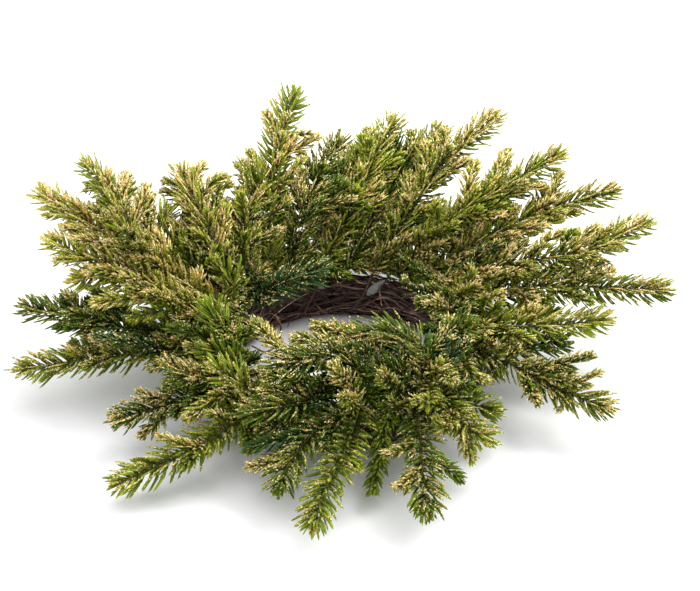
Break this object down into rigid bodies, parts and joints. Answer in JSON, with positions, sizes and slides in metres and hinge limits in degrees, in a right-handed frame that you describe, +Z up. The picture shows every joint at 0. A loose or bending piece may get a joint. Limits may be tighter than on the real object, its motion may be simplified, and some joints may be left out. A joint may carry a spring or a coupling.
{
  "type": "pine wreath",
  "caption": "Flat ring of dark twisted vine set with spreading pine sprays whose needles are dusted with gold glitter, open in the middle.",
  "frame": {"origin": "on the rest plane, under the middle of the wreath's bounding box", "axes": "+Z up out of the plane that the wreath lies on, +X to the right and +Y away from the viewer, towards the side whose sprays stand up the most"},
  "size_m": [0.6022, 0.5764, 0.1719],
  "materials": {
    "needles_deep": "satin, deep blue-green needles with gold glitter on the upper faces",
    "needles_mid": "satin, mid green needles with gold glitter on the upper faces",
    "needles_olive": "satin, yellow-green needles with gold glitter on the upper faces",
    "stem": "matt, thin woody stem",
    "vine": "matt, dark brown bark",
    "glue": "smooth, cloudy clear glue"
  },
  "bodies": {
    "root": {"spray_01_needles": "needles_olive", "spray_02_needles": "needles_deep", "spray_03_needles": "needles_mid", "spray_04_needles": "needles_mid", "spray_05_needles": "needles_olive", "spray_06_needles": "needles_olive", "spray_07_needles": "needles_mid", "spray_08_needles": "needles_olive", "spray_09_needles": "needles_deep", "spray_10_needles": "needles_mid", "spray_11_needles": "needles_mid", "spray_12_needles": "needles_olive", "spray_13_needles": "needles_mid", "spray_14_needles": "needles_mid", "spray_15_needles": "needles_olive", "spray_16_needles": "needles_mid", "spray_17_needles": "needles_olive", "spray_18_needles": "needles_deep", "spray_19_needles": "needles_olive", "spray_20_needles": "needles_mid", "spray_21_needles": "needles_olive", "spray_22_needles": "needles_mid", "spray_23_needles": "needles_olive", "spray_24_needles": "needles_deep", "spray_25_needles": "needles_mid", "spray_26_needles": "needles_olive", "spray_01_stem": "stem", "spray_02_stem": "stem", "spray_03_stem": "stem", "spray_04_stem": "stem", "spray_05_stem": "stem", "spray_06_stem": "stem", "spray_07_stem": "stem", "spray_08_stem": "stem", "spray_09_stem": "stem", "spray_10_stem": "stem", "spray_11_stem": "stem", "spray_12_stem": "stem", "spray_13_stem": "stem", "spray_14_stem": "stem", "spray_15_stem": "stem", "spray_16_stem": "stem", "spray_17_stem": "stem", "spray_18_stem": "stem", "spray_19_stem": "stem", "spray_20_stem": "stem", "spray_21_stem": "stem", "spray_22_stem": "stem", "spray_23_stem": "stem", "spray_24_stem": "stem", "spray_25_stem": "stem", "spray_26_stem": "stem", "vine_bundle_1": "vine", "vine_bundle_2": "vine", "vine_bundle_3": "vine", "vine_bundle_4": "vine", "glue_dab_1": "glue", "glue_dab_2": "glue", "vine_tendril_1": "vine", "vine_tendril_2": "vine"}
  },
  "joints": []
}
